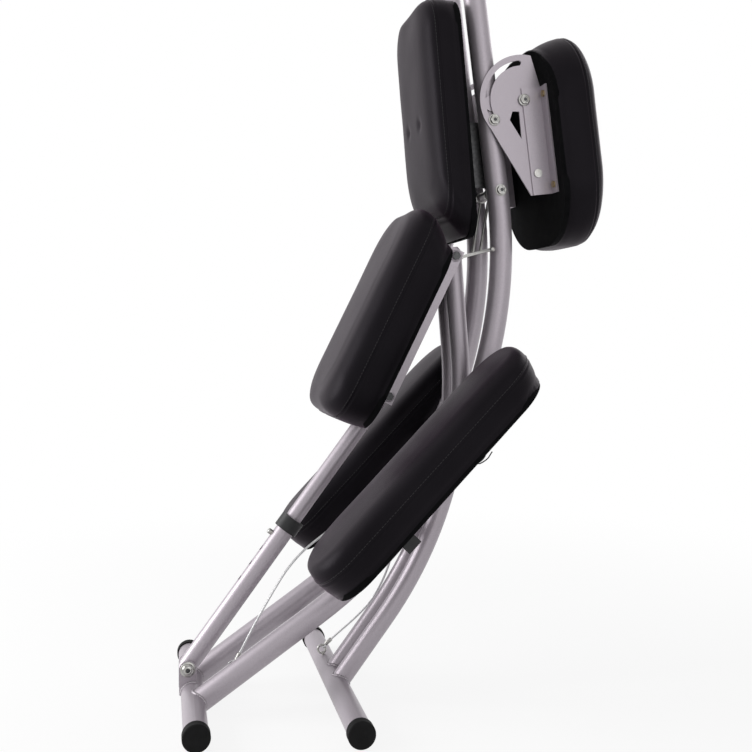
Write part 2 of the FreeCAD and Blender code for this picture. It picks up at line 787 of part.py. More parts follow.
chest_up = along(chest_heading)
chest_front = across(chest_heading)
chest_back_middle = main_line.on_top(chest_middle_z) + across(main_top_heading) * chest_standoff


def chest_back(z):
    """The point of the chest board's back at a height."""
    return chest_back_middle + chest_up * ((z - chest_back_middle.z) / chest_up.z)


bracket_outline = [chest_back(chest_bracket_bottom), main_line.on_top(chest_bracket_bottom),
                   main_line.on_top(chest_bracket_top), chest_back(chest_bracket_top)]
bracket_inner = main_inner_face - chest_bracket_thickness
flange_back = chest_front * -chest_bracket_thickness
flange_outline = [chest_back(chest_bracket_bottom), chest_back(chest_bracket_top),
                  chest_back(chest_bracket_top) + flange_back,
                  chest_back(chest_bracket_bottom) + flange_back]
chest_web = plate(bracket_outline, -main_inner_face, -bracket_inner)
chest_flange = plate(flange_outline, -bracket_inner, chest_bracket_flange - bracket_inner)
chest_bracket = chest_web.fuse(chest_flange).removeSplitter().cut(clamp_hole)
chest_screw_heights = [0.2, 0.8]
chest_screw_y = bracket_inner - chest_bracket_flange / 2
chest_screws = []
for share in chest_screw_heights:
    z = chest_bracket_bottom + (chest_bracket_top - chest_bracket_bottom) * share
    seat = at_y(chest_back(z) + flange_back, -chest_screw_y)
    chest_bracket = chest_bracket.cut(screw_hole(seat, chest_front, chest_bracket_thickness))
    chest_screws.append(board_screw(seat, chest_front))
chest_screws += [mirrored(screw) for screw in chest_screws]
nodes["chest_brackets"] = both_sides(chest_bracket)
chest_board = placed(board(chest_height, chest_width, chest_corner), chest_back_middle,
                     chest_up, chest_front)
nodes["chest_board"] = chest_board.cut(chest_screws)
chest_pad_back = chest_back_middle + chest_front * board_thickness
chest_cushion = cushion(chest_height, chest_width, chest_thickness, chest_corner,
                        chest_foot_share, chest_head_share, foot_slant=chest_foot_slant)
chest_pad = placed(chest_cushion, chest_pad_back, chest_up, chest_front)
tuft_centre = chest_pad_back + chest_front * (chest_thickness + chest_tuft_radius - chest_tuft_depth)
for sign in SIDES.values():
    tuft = Part.makeSphere(chest_tuft_radius, at_y(tuft_centre, sign * chest_tuft_spacing / 2))
    chest_pad = chest_pad.cut(tuft)
nodes["chest_pad"] = chest_pad


# Armrest

arm_up = along(main_top_heading)
arm_out = across(main_top_heading) * -1


def on_arm(up, out):
    """A side-view point of the armrest, from its pivot."""
    return arm_pivot + arm_up * up + arm_out * out


ear_root = clamp_point + arm_up * (arm_pivot - clamp_point).dot(arm_up)
arm_ear_outer = main_outer_face + arm_ear_thickness
arm_ear = strap(ear_root, arm_pivot, arm_ear_width, -arm_ear_outer, -main_outer_face)
arm_ear = arm_ear.cut(through_hole(arm_pivot, clamp_diameter))
nodes["armrest_ears"] = both_sides(arm_ear)

sector_inner = arm_ear_outer + sector_gap
sector_outer = sector_inner + sector_thickness
rim_radius = slot_radius + sector_rim
slot_start = arm_pivot_heading + 180
slot_end = slot_start - slot_sweep_angle
rim_end = slot_start + sector_rim_past_angle


def around_pivot(heading, radius, y):
    """A point round the armrest's pivot."""
    return at_y(arm_pivot + along(heading) * radius, y)


def pivot_arc(start, end, radius, y):
    """An arc round the armrest's pivot between two headings."""
    headings = (start, (start + end) / 2, end)
    return Part.Arc(*[around_pivot(heading, radius, y) for heading in headings]).toShape()


def sector_plate():
    """The right-hand slotted sector plate with its tail."""
    y = -sector_outer
    tail_left = arm_board_offset - arm_channel_web - sector_tail_step
    tail_right = arm_board_offset - sector_board_gap
    rim = pivot_arc(sector_top_heading, rim_end, rim_radius, y)
    corners = [
        around_pivot(rim_end, rim_radius, y),
        at_y(on_arm(arm_channel_bottom, tail_left), y),
        at_y(on_arm(arm_channel_bottom, tail_right), y),
        at_y(on_arm(arm_channel_top, tail_right), y),
        around_pivot(sector_top_heading, rim_radius, y),
    ]
    edges = [Part.makeLine(first, second) for first, second in zip(corners, corners[1:])]
    body = Part.Face(Part.Wire([rim] + edges)).extrude(V(0, sector_thickness, 0))
    half_slot = slot_width / 2
    outer_arc = pivot_arc(slot_end, slot_start, slot_radius + half_slot, y)
    inner_arc = pivot_arc(slot_end, slot_start, slot_radius - half_slot, y)
    closing = [Part.makeLine(around_pivot(heading, slot_radius - half_slot, y),
                             around_pivot(heading, slot_radius + half_slot, y))
               for heading in (slot_end, slot_start)]
    slot_wire = Part.Wire(Part.sortEdges([outer_arc, inner_arc] + closing)[0])
    slot = Part.Face(slot_wire).extrude(V(0, sector_thickness, 0))
    slot_ends = [cross_bar(arm_pivot + along(heading) * slot_radius, -sector_outer, -sector_inner,
                           slot_width) for heading in (slot_start, slot_end)]
    window_corners = [V(window_left, 0, window_top), V(window_belly, 0, window_belly_z),
                      V(window_tip, 0, window_bottom), V(window_right, 0, window_top)]
    window = plate([arm_pivot + corner for corner in window_corners], -sector_outer, -sector_inner)
    return body.cut([slot, window] + slot_ends)


channel_outer = sector_outer + arm_channel_thickness
arm_pivot_hole = through_hole(arm_pivot, clamp_diameter + 2 * running_clearance)
rivet_point = on_arm(-arm_rivet_drop, arm_board_offset - arm_channel_web + arm_rivet_across)
rivet_hole = through_hole(rivet_point, arm_rivet_diameter)
channel_corners = [(arm_channel_bottom, 0), (arm_channel_bottom, arm_channel_web),
                   (arm_channel_top, arm_channel_web), (arm_channel_top, 0)]
channel_left = arm_board_offset - arm_channel_web
channel_web = plate([on_arm(up, channel_left + out) for up, out in channel_corners],
                    -channel_outer, -sector_outer)
flange_inner_face = arm_board_offset - arm_channel_thickness
channel_flange = plate([on_arm(arm_channel_bottom, flange_inner_face),
                        on_arm(arm_channel_bottom, arm_board_offset),
                        on_arm(arm_channel_top, arm_board_offset),
                        on_arm(arm_channel_top, flange_inner_face)],
                       -channel_outer - arm_channel_flange, -channel_outer)
channel = channel_web.fuse(channel_flange).removeSplitter().cut([arm_pivot_hole, rivet_hole])
arm_screws = []
for up in (arm_channel_top - arm_screw_edge, arm_channel_bottom + arm_screw_edge):
    seat = at_y(on_arm(up, flange_inner_face), -channel_outer - arm_channel_flange / 2)
    channel = channel.cut(screw_hole(seat, arm_out, arm_channel_thickness))
    arm_screws.append(board_screw(seat, arm_out))
arm_screws += [mirrored(screw) for screw in arm_screws]
right_sector = sector_plate().cut([arm_pivot_hole, rivet_hole])
nodes["sector_plate_right"] = right_sector
nodes["sector_plate_left"] = mirrored(right_sector)
nodes["arm_channel_right"] = channel
nodes["arm_channel_left"] = mirrored(channel)
nodes["arm_screws"] = Part.makeCompound(arm_screws)

rivet = cross_bar(rivet_point, -channel_outer, -sector_inner, arm_rivet_diameter)
rivet_head = cross_bar(rivet_point, -channel_outer - screw_head_height, -channel_outer,
                       2 * arm_rivet_diameter)
nodes["arm_rivets"] = both_sides(rivet.fuse(rivet_head).removeSplitter())
pivot_seat = channel_outer + loose_clearance
nodes["armrest_pivot_bolts"] = both_sides(bolt(arm_pivot, -pivot_seat, -main_outer_face, clamp_diameter))
clamp_seat = sector_outer + loose_clearance
clamp_bolt = bolt(clamp_point, -clamp_seat, -main_inner_face + clamp_diameter, clamp_diameter)
nodes["frame_bolts"] = Part.makeCompound([tie_bolt, mirrored(tie_bolt), clamp_bolt, mirrored(clamp_bolt)])
clamp_nut = nut(clamp_point, -bracket_inner, clamp_diameter, 1)
nodes["frame_nuts"] = Part.makeCompound(frame_nuts + [clamp_nut, mirrored(clamp_nut)])

arm_board_back = on_arm(-arm_pad_below_pivot - arm_end_undercut / 2, arm_board_offset)
arm_board_length = arm_pad_length - arm_end_undercut
arm_board = placed(board(arm_board_length, arm_pad_width, arm_pad_corner), arm_board_back, arm_up, arm_out)
nodes["armrest_board"] = arm_board.cut(arm_screws)
arm_cushion = cushion(arm_pad_length, arm_pad_width, arm_pad_thickness, arm_pad_corner,
                      arm_foot_share, arm_head_share, head_undercut=arm_end_undercut)
arm_pad_back = on_arm(-arm_pad_below_pivot, arm_board_offset + board_thickness)
nodes["armrest_pad"] = placed(arm_cushion, arm_pad_back, arm_up, arm_out)


# Knee rests

knee_along = along(knee_heading)
knee_up = across(knee_heading)


def on_knee(up_slope, height):
    """A side-view point of the knee rests, from the foot of their cross bar."""
    return knee_bar_foot + knee_along * up_slope + knee_up * height


half_bar = knee_bar_size / 2
bar_low = knee_board_height - knee_bar_size
inner_half = half_bar - knee_bar_wall
bar_y = knee_bar_length / 2 - knee_cap_thickness


def knee_bar_block(half_width, low, high, y_end):
    """A block of the knee rests' cross bar, in the slope's own directions."""
    corners = [on_knee(-half_width, low), on_knee(half_width, low), on_knee(half_width, high),
               on_knee(-half_width, high)]
    return plate(corners, -y_end, y_end)


knee_bar = knee_bar_block(half_bar, bar_low, knee_board_height, bar_y)
knee_bar_bore = knee_bar_block(inner_half, bar_low + knee_bar_wall, knee_board_height - knee_bar_wall,
                               bar_y)
nodes["knee_crossbar"] = knee_bar.cut([knee_bar_bore, right_bar, left_bar])
cap_ends = knee_bar_block(half_bar, bar_low, knee_board_height, knee_bar_length / 2)
nodes["knee_bar_caps"] = cap_ends.cut(knee_bar_block(half_bar, bar_low, knee_board_height, bar_y))

bracket_low = knee_board_height - knee_bracket_thickness
bracket_start = knee_bracket_up_slope - knee_bracket_width / 2
bracket_stop = knee_bracket_up_slope + knee_bracket_width / 2
knee_plate = plate([on_knee(bracket_start, bracket_low), on_knee(bracket_stop, bracket_low),
                    on_knee(bracket_stop, knee_board_height), on_knee(bracket_start, knee_board_height)],
                   -knee_bracket_end, -main_y)
knob_axis_top = at_y(on_knee(knee_bracket_up_slope, knee_board_height), -knee_knob_from_middle)
stud_hole = cylinder(knob_axis_top + knee_up * board_thickness, knob_axis_top - knee_up * knee_knob_height,
                     knee_stud_diameter + 2 * running_clearance)
nodes["knee_brackets"] = both_sides(knee_plate.cut([right_bar, stud_hole]))

knob_seat = knob_axis_top - knee_up * (knee_bracket_thickness + loose_clearance)
knob_bottom = knob_seat - knee_up * knee_knob_height
knob = cylinder(knob_bottom, knob_seat, knee_knob_diameter)
knob = knob.makeFillet(knee_knob_height / 5, [edge for edge in knob.Edges if edge.Closed])
stud_end = knob_axis_top + knee_up * (board_thickness - knee_stud_gap)
knob = knob.fuse(cylinder(knob_seat, stud_end, knee_stud_diameter)).removeSplitter()
nodes["knee_knob_right"] = knob
nodes["knee_knob_left"] = mirrored(knob)

knee_middle_y = knee_pad_inner_edge + knee_pad_width / 2
knee_board_up_slope = knee_pad_up_slope - knee_end_undercut / 2
knee_board_middle = at_y(on_knee(knee_board_up_slope, knee_board_height), -knee_middle_y)
knee_board_length = knee_pad_length - knee_end_undercut
knee_board = placed(board(knee_board_length, knee_pad_width, knee_pad_corner), knee_board_middle,
                    knee_along, knee_up)
knee_screws = []
for y in (knee_pad_inner_edge + knee_screw_edge, bar_y - knee_screw_edge):
    seat = at_y(on_knee(0, knee_board_height - knee_bar_wall), -y)
    knee_screws.append(board_screw(seat, knee_up))
knee_board = knee_board.cut(knee_screws + [stud_hole])
knee_screws += [mirrored(screw) for screw in knee_screws]
nodes["knee_crossbar"] = nodes["knee_crossbar"].cut(knee_screws)
nodes["board_screws"] = Part.makeCompound(chest_screws + knee_screws)
nodes["knee_board_right"] = knee_board
nodes["knee_board_left"] = mirrored(knee_board)
knee_cushion = cushion(knee_pad_length, knee_pad_width, knee_pad_thickness, knee_pad_corner,
                       knee_foot_share, knee_head_share, head_undercut=knee_end_undercut)
knee_pad_middle = at_y(on_knee(knee_pad_up_slope, knee_board_height + board_thickness), -knee_middle_y)
knee_pad = placed(knee_cushion, knee_pad_middle, knee_along, knee_up)
nodes["knee_pad_right"] = knee_pad
nodes["knee_pad_left"] = mirrored(knee_pad)


# Sockets for the face rest

socket_foot = main_line.end - arm_up * socket_depth
socket_mouth = main_line.end + arm_up * socket_lip
socket = cylinder(at_y(socket_foot, -main_y), at_y(main_line.end, -main_y), main_diameter - 2 * main_wall)
lip = cylinder(at_y(main_line.end, -main_y), at_y(socket_mouth, -main_y), main_diameter)
socket = socket.fuse(lip).removeSplitter()
socket = socket.cut(cylinder(at_y(socket_foot, -main_y), at_y(socket_mouth, -main_y), socket_bore))
nodes["face_rest_sockets"] = both_sides(socket)


os.makedirs("parts", exist_ok=True)
for name, shape in nodes.items():
    shape.exportStep("parts/" + name + ".step")
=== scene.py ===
# Looks of the folding massage chair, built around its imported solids.
# Metres, in the part's own frame: +X the way the sitter faces, +Y the sitter's left, +Z up.
import json
import math

import bmesh
import bpy
import numpy as np
from mathutils import Matrix, Vector, noise


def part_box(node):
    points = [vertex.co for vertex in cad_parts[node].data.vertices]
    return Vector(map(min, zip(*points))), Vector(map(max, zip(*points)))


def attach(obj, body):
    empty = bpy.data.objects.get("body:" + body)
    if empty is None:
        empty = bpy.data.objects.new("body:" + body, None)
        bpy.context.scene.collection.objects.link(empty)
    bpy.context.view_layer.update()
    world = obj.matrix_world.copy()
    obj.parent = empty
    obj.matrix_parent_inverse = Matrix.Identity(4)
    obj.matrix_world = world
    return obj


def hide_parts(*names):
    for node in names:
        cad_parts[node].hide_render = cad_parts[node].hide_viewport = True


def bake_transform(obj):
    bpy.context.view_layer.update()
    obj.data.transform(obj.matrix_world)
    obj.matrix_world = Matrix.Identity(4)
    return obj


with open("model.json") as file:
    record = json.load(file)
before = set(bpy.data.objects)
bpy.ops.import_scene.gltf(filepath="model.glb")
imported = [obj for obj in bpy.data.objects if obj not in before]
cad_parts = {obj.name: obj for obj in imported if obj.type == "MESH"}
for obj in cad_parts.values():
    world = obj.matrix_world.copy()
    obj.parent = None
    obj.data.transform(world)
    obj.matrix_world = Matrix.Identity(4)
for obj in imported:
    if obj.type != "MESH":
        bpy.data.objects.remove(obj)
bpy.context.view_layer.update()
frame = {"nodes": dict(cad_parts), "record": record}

scene = bpy.context.scene
nodes = frame["nodes"]
ACROSS = Vector((0, 1, 0))

# Camera of the photograph, placed from the rear foot bar
rear_low, rear_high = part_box("rear_foot_bar")
REAR_BAR_X = (rear_low.x + rear_high.x) / 2
PHOTO_SIZE = 752
FOCAL_PIXELS = 1000
SENSOR = 36.0
SHIFT_PIXELS = -43
CAMERA_AHEAD = -0.049
CAMERA_ACROSS = -1.689
CAMERA_UP = 0.6138
CAMERA_YAW = -12.08
camera_data = bpy.data.cameras.new("photo_camera")
camera_data.sensor_width = SENSOR
camera_data.lens = SENSOR * FOCAL_PIXELS / PHOTO_SIZE
camera_data.shift_y = SHIFT_PIXELS / PHOTO_SIZE
camera = bpy.data.objects.new("photo_camera", camera_data)
camera.location = (REAR_BAR_X + CAMERA_AHEAD, CAMERA_ACROSS, CAMERA_UP)
camera.rotation_euler = (math.radians(90), 0, math.radians(CAMERA_YAW))
scene.collection.objects.link(camera)
scene.camera = camera
scene.view_settings.view_transform = "Standard"


# Small helpers

MERGE_DISTANCE = 1e-5


def heading(degrees):
    """Unit vector in side view at an angle from +X towards +Z."""
    return Vector((math.cos(math.radians(degrees)), 0, math.sin(math.radians(degrees))))


def add_object(name, mesh):
    """A new object in the scene."""
    obj = bpy.data.objects.new(name, mesh)
    scene.collection.objects.link(obj)
    return obj


def mesh_from(name, points, faces, smooth=True):
    """A mesh from plain lists."""
    mesh = bpy.data.meshes.new(name)
    mesh.from_pydata([tuple(p) for p in points], [], faces)
    mesh.polygons.foreach_set("use_smooth", [smooth] * len(mesh.polygons))
    mesh.update()
    return mesh


def dress(obj, material, body):
    """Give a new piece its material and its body."""
    obj.data.materials.clear()
    obj.data.materials.append(material)
    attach(obj, body)
    return obj


def tube_rings(points, radius_at, sides, closed=False):
    """Points and faces of a tube along a polyline; radius_at(index, angle) gives its radius."""
    points = [Vector(p) for p in points]
    count = len(points)
    tangents = []
    for i in range(count):
        before = points[i - 1] if (i or closed) else points[i]
        after = points[(i + 1) % count] if (i + 1 < count or closed) else points[i]
        tangents.append((after - before).normalized())
    normal = tangents[0].orthogonal().normalized()
    rings = []
    for i, tangent in enumerate(tangents):
        normal = (normal - tangent * normal.dot(tangent)).normalized()
        side = tangent.cross(normal)
        for k in range(sides):
            angle = 2 * math.pi * k / sides
            outwards = normal * math.cos(angle) + side * math.sin(angle)
            rings.append(points[i] + outwards * radius_at(i, angle))
    faces = []
    for i in range(count if closed else count - 1):
        j = (i + 1) % count
        for k in range(sides):
            m = (k + 1) % sides
            faces.append((i * sides + k, i * sides + m, j * sides + m, j * sides + k))
    if not closed:
        faces.append(tuple(range(sides))[::-1])
        faces.append(tuple(range((count - 1) * sides, count * sides)))
    return rings, faces


def resampled(points, pitch):
    """A polyline's points at equal steps, as a list of vectors."""
    points = np.array([tuple(p) for p in points])
    lengths = np.concatenate([[0], np.cumsum(np.linalg.norm(np.diff(points, axis=0), axis=1))])
    steps = max(2, int(round(lengths[-1] / pitch)))
    where = np.linspace(0, lengths[-1], steps + 1)
    columns = [np.interp(where, lengths, points[:, c]) for c in range(3)]
    return [Vector(p) for p in np.stack(columns, axis=1)]


# Materials

SHEEN_ROUGHNESS = 0.45
SHEEN_TINT = (0.9, 0.64, 0.86, 1)
GRAIN_SMOOTHNESS = 0.6
WEAVE_DISTORTION = 0.6
TONE_DETAIL = 6.0
TONE_RANGE = (0.3, 0.7)
ROUGH_SCALE_SHARE = 0.4


def surface(name, dark, light, tone_scale, rough, metallic=0.0, bumps=(), specular=0.5, sheen=0.0,
            tint=(1, 1, 1)):
    """A procedural material: mottled tone, uneven roughness and layers of fine relief.

    bumps are (kind of texture, scale, strength, depth in metres).
    """
    material = bpy.data.materials.new(name)
    material.use_nodes = True
    tree = material.node_tree
    shader = tree.nodes["Principled BSDF"]
    shader.inputs["Metallic"].default_value = metallic
    shader.inputs["Specular IOR Level"].default_value = specular
    shader.inputs["Specular Tint"].default_value = (*tint, 1)
    shader.inputs["Sheen Weight"].default_value = sheen
    shader.inputs["Sheen Roughness"].default_value = SHEEN_ROUGHNESS
    shader.inputs["Sheen Tint"].default_value = SHEEN_TINT
    place = tree.nodes.new("ShaderNodeTexCoord").outputs["Object"]

    def texture(kind, scale, detail=3.0):
        if kind == "grain":
            node = tree.nodes.new("ShaderNodeTexVoronoi")
            node.feature = "SMOOTH_F1"
            node.inputs["Smoothness"].default_value = GRAIN_SMOOTHNESS
            output = "Distance"
        elif kind == "weave":
            node = tree.nodes.new("ShaderNodeTexMagic")
            node.turbulence_depth = 1
            node.inputs["Distortion"].default_value = WEAVE_DISTORTION
            output = "Fac"
        else:
            node = tree.nodes.new("ShaderNodeTexNoise")
            node.inputs["Detail"].default_value = detail
            output = "Fac"
        node.inputs["Scale"].default_value = scale
        tree.links.new(place, node.inputs["Vector"])
        return node.outputs[output]

    ramp = tree.nodes.new("ShaderNodeValToRGB")
    for element, position, colour in zip(ramp.color_ramp.elements, TONE_RANGE, (dark, light)):
        element.position = position
        element.color = (*colour, 1)
    tree.links.new(texture("noise", tone_scale, TONE_DETAIL), ramp.inputs["Fac"])
    tree.links.new(ramp.outputs["Color"], shader.inputs["Base Color"])

    spread = tree.nodes.new("ShaderNodeMapRange")
    spread.inputs["To Min"].default_value = rough[0]
    spread.inputs["To Max"].default_value = rough[1]
    tree.links.new(texture("noise", tone_scale * ROUGH_SCALE_SHARE), spread.inputs["Value"])
    tree.links.new(spread.outputs["Result"], shader.inputs["Roughness"])

    normal = None
    for kind, scale, strength, depth in bumps:
        bump = tree.nodes.new("ShaderNodeBump")
        bump.inputs["Strength"].default_value = strength
        bump.inputs["Distance"].default_value = depth
        tree.links.new(texture(kind, scale), bump.inputs["Height"])
        if normal is not None:
            tree.links.new(normal, bump.inputs["Normal"])
        normal = bump.outputs["Normal"]
    if normal is not None:
        tree.links.new(normal, shader.inputs["Normal"])
    return material


leather = surface("pu_leather", (0.0055, 0.0051, 0.0061), (0.0085, 0.0079, 0.0094), 9, (0.36, 0.44),
                  specular=0.05, sheen=0.10, tint=(0.96, 0.84, 1.0),
                  bumps=(("grain", 520, 0.30, 0.0004), ("noise", 60, 0.10, 0.001)))
thread = surface("thread", (0.020, 0.020, 0.021), (0.035, 0.035, 0.036), 400, (0.5, 0.7), specular=0.2,
                 bumps=(("noise", 1500, 0.4, 0.0002),))
back_cloth = surface("back_cloth", (0.003, 0.003, 0.0034), (0.006, 0.006, 0.0065), 60, (0.75, 0.9),
                     specular=0.03, bumps=(("weave", 900, 0.5, 0.0003),))
powder = surface("powder_coat", (0.345, 0.31, 0.343), (0.405, 0.367, 0.402), 700, (0.36, 0.46), metallic=0.5,
                 bumps=(("noise", 900, 0.08, 0.0002), ("noise", 120, 0.03, 0.0006)))
zinc = surface("zinc_steel", (0.34, 0.33, 0.31), (0.46, 0.46, 0.45), 160, (0.24, 0.38), metallic=1.0,
               bumps=(("noise", 700, 0.06, 0.0002),))
dark_steel = surface("dark_steel", (0.05, 0.05, 0.052), (0.09, 0.09, 0.092), 200, (0.35, 0.5), metallic=1.0,
                     bumps=(("noise", 800, 0.08, 0.0002),))
rubber = surface("rubber", (0.006, 0.006, 0.0062), (0.010, 0.010, 0.0104), 90, (0.6, 0.75), specular=0.10,
                 bumps=(("noise", 600, 0.25, 0.0003),))
plastic = surface("black_plastic", (0.014, 0.014, 0.015), (0.022, 0.022, 0.023), 80, (0.42, 0.52),
                  specular=0.3, bumps=(("grain", 1100, 0.15, 0.0002),))
nylon = surface("nylon", (0.68, 0.67, 0.63), (0.76, 0.75, 0.71), 120, (0.4, 0.5),
                bumps=(("noise", 500, 0.1, 0.0002),))
yellow_zinc = surface("yellow_zinc", (0.30, 0.22, 0.10), (0.44, 0.36, 0.22), 260, (0.3, 0.45), metallic=1.0,
                      bumps=(("noise", 700, 0.08, 0.0002),))
wire = surface("cable_wire", (0.52, 0.52, 0.53), (0.70, 0.70, 0.70), 300, (0.28, 0.42), metallic=0.6,
               bumps=(("noise", 1200, 0.15, 0.0002),))
weld = surface("weld", (0.30, 0.275, 0.298), (0.38, 0.35, 0.378), 260, (0.38, 0.5), metallic=0.5,
               bumps=(("noise", 400, 0.3, 0.0004),))

SLOT_MATERIALS = {
    "powder_coat": powder, "zinc_steel": zinc, "dark_steel": dark_steel, "rubber_black": rubber,
    "plastic_black": plastic, "nylon": nylon, "pad_cover": leather, "plywood": back_cloth, "cable_wire": wire,
}
for entry in frame["record"]["subparts"]:
    for place in nodes[entry["node"]].material_slots:
        place.material = SLOT_MATERIALS[entry["material_slot"]]
for place in nodes["arm_screws"].material_slots:
    place.material = yellow_zinc


# Limit cable: the route's points, ahead of the rear foot bar, across and up
CABLE_DIAMETER = 0.004
CABLE_PITCH = 0.0015
CABLE_SIDES = 36
CABLE_ROUTE = [
    (0.071, -0.025, 0.074), (0.087, -0.025, 0.104), (0.107, -0.024, 0.141), (0.131, -0.022, 0.181),
    (0.156, -0.019, 0.219), (0.186, -0.016, 0.250), (0.220, -0.013, 0.273), (0.252, -0.010, 0.297),
    (0.285, -0.007, 0.316), (0.317, -0.003, 0.324), (0.343, 0.005, 0.304), (0.352, 0.018, 0.262),
    (0.347, 0.034, 0.215), (0.334, 0.049, 0.170), (0.314, 0.061, 0.131), (0.286, 0.070, 0.101),
    (0.259, 0.077, 0.077), (0.238, 0.080, 0.058),
]
STRANDS = 6
STRAND_LAY = 0.026
STRAND_DEPTH = 0.09


def cable_line():
    """Points of the cable's smooth line, read from its spline."""
    curve = bpy.data.curves.new("limit_cable_line", "CURVE")
    curve.dimensions = "3D"
    spline = curve.splines.new("NURBS")
    spline.points.add(len(CABLE_ROUTE) - 1)
    for point, (ahead, y, z) in zip(spline.points, CABLE_ROUTE):
        point.co = (REAR_BAR_X + ahead, y, z, 1)
    spline.order_u = 3
    spline.use_endpoint_u = True
    curve.resolution_u = 16
    guide = add_object("limit_cable_guide", curve)
    bpy.context.view_layer.update()
    line = bpy.data.meshes.new_from_object(guide)
    points = [v.co.copy() for v in line.vertices]
    bpy.data.objects.remove(guide)
    bpy.data.meshes.remove(line)
    return resampled(points, CABLE_PITCH)


cable_points = cable_line()
cable_step = (cable_points[1] - cable_points[0]).length


def strand_radius(index, angle):
    """Radius of the twisted rope at a ring and an angle."""
    twist = 2 * math.pi * index * cable_step / STRAND_LAY
    return CABLE_DIAMETER / 2 * (1 - STRAND_DEPTH * (0.5 - 0.5 * math.cos(STRANDS * (angle - twist))))


rope = tube_rings(cable_points, strand_radius, CABLE_SIDES)
cable = add_object("wire_rope", mesh_from("wire_rope", *rope))
cable.data.materials.append(wire)
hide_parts("limit_cable")
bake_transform(cable)


# Cushions

VOXEL = 0.005
BOARD_WRAP = 0.0093
SHRINK = 0.002
BASE_SPREAD = -0.0015
PRESSURE = 4.0
SIMULATED_FRAMES = 20
SWELL_CAP = 0.006
CALM_ROUNDS = 40
GROOVE_HALF = 0.0022
GROOVE_DEPTH = 0.0009
LIP_OFFSET = 0.0036
LIP_WIDTH = 0.0016
LIP_HEIGHT = 0.0004
STITCH_OFFSET = 0.0042
STITCH_PITCH = 0.0055
STITCH_LENGTH = 0.0038
STITCH_RADIUS = 0.00045
UNEVEN_SIZE = 14.0
UNEVEN_HEIGHT = 0.0007
BASE_LEVEL = 0.0005
CUT_TOLERANCE = 2e-5
ON_STITCHES = 1e-4
STITCH_FORM = ((-1.0, 0.35), (-0.8, 0.9), (0.0, 1.0), (0.8, 0.9), (1.0, 0.35))
STITCH_SIDES = 6
STITCH_LIFT = 0.4
TUFT_FLAT = 0.014
TUFT_RIM = 0.022
TUFT_DEPTH = 0.003
TUFT_WIDTH = 0.010
# Half the width of the gap for the strut under the seat, and where it ends
SEAT_NOTCH = (0.047, -0.090)


def pad_frame(node):
    """The matrix from a pad's own frame (length, across, up from its flat base) to the part's frame."""
    mesh = nodes[node].data
    groups = {}
    for polygon in mesh.polygons:
        key = tuple(round(c, 1) for c in polygon.normal)
        groups.setdefault(key, []).append(polygon)
    flat = max(groups.values(), key=lambda group: sum(p.area for p in group))
    area = sum(p.area for p in flat)
    up = -sum((p.normal * p.area for p in flat), Vector()).normalized()
    middle = sum((p.center * p.area for p in flat), Vector()) / area
    length = ACROSS.cross(up)
    rotation = Matrix((length, ACROSS, up)).transposed().to_4x4()
    return Matrix.Translation(middle) @ rotation


def start_shape(node, to_pad):
    """A pad's solid in its own frame, a little smaller and drawn down round its board."""
    bm = bmesh.new()
    bm.from_mesh(nodes[node].data)
    bmesh.ops.remove_doubles(bm, verts=bm.verts, dist=MERGE_DISTANCE)
    bm.transform(to_pad)
    corners = np.array([v.co for v in bm.verts])
    low, high = corners.min(0), corners.max(0)
    middle, half = (low + high) / 2, (high - low) / 2
    for v in bm.verts:
        at_base = v.co.z < BASE_LEVEL
        grow = BASE_SPREAD if at_base else -SHRINK
        v.co.x = middle[0] + (v.co.x - middle[0]) * (1 + grow / half[0])
        v.co.y = middle[1] + (v.co.y - middle[1]) * (1 + grow / half[1])
        v.co.z = -BOARD_WRAP if at_base else v.co.z * (1 - SHRINK / high[2])
    mesh = bpy.data.meshes.new(node + "_start")
    bm.to_mesh(mesh)
    bm.free()
    return mesh, high[2]


def coordinates(mesh):
    """A mesh's points as an array."""
    flat = np.empty(len(mesh.vertices) * 3)
    mesh.vertices.foreach_get("co", flat)
    return flat.reshape(-1, 3)


def inflate(obj):
    """Swell a closed skin outwards with a cloth simulation, hold its back and cap how far it moves."""
    start = coordinates(obj.data)
    held = obj.vertex_groups.new(name="held")
    held.add([int(i) for i in np.flatnonzero(start[:, 2] < 0)], 1.0, "REPLACE")
    cloth = obj.modifiers.new("swell", "CLOTH")
    cloth.settings.use_pressure = True
    cloth.settings.uniform_pressure_force = PRESSURE
    cloth.settings.vertex_group_mass = held.name
    cloth.settings.effector_weights.gravity = 0
    cloth.settings.quality = 4
    cloth.collision_settings.use_collision = False
    for step in range(1, SIMULATED_FRAMES + 1):
        scene.frame_set(step)
    swollen = obj.evaluated_get(bpy.context.evaluated_depsgraph_get())
    move = coordinates(swollen.data) - start
    outwards = np.array([v.normal for v in obj.data.vertices])
    move = outwards * np.clip((move * outwards).sum(axis=1, keepdims=True), 0, SWELL_CAP)
    ends = np.array([edge.vertices[:] for edge in obj.data.edges])
    count = np.bincount(ends.ravel(), minlength=len(start))[:, None]
    for _ in range(CALM_ROUNDS):
        around = np.zeros_like(move)
        np.add.at(around, ends[:, 0], move[ends[:, 1]])
        np.add.at(around, ends[:, 1], move[ends[:, 0]])
        move = around / count
        move[start[:, 2] < 0] = 0
    obj.modifiers.remove(cloth)
    scene.frame_set(1)
    obj.data.vertices.foreach_set("co", (start + move).ravel())
    obj.data.update()


